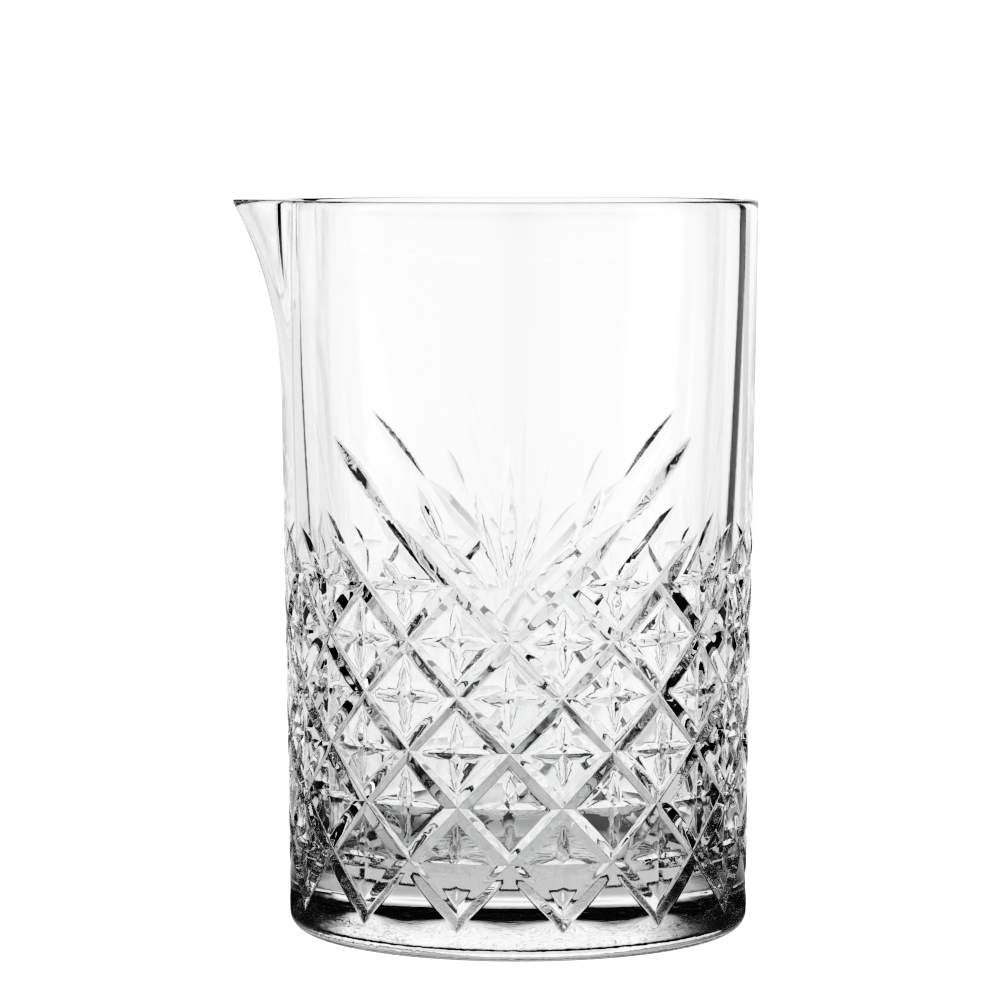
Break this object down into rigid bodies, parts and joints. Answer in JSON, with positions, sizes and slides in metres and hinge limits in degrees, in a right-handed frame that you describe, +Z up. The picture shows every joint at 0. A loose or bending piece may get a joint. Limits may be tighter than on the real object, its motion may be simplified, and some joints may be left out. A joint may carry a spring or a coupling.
{
  "type": "mixing glass",
  "caption": "Cylindrical clear glass mixing vessel with a pouring lip, a heavy base and a cut diamond pattern with fans.",
  "frame": {"origin": "centre of the flat underside, on the vessel's axis", "axes": "+Z up along the vessel's axis, -X towards the pouring lip, -Y towards the front fan of the pattern"},
  "size_m": [0.1072, 0.0978, 0.149],
  "materials": {
    "glass": "polished"
  },
  "bodies": {
    "root": {"glass_body": "glass"}
  },
  "joints": []
}
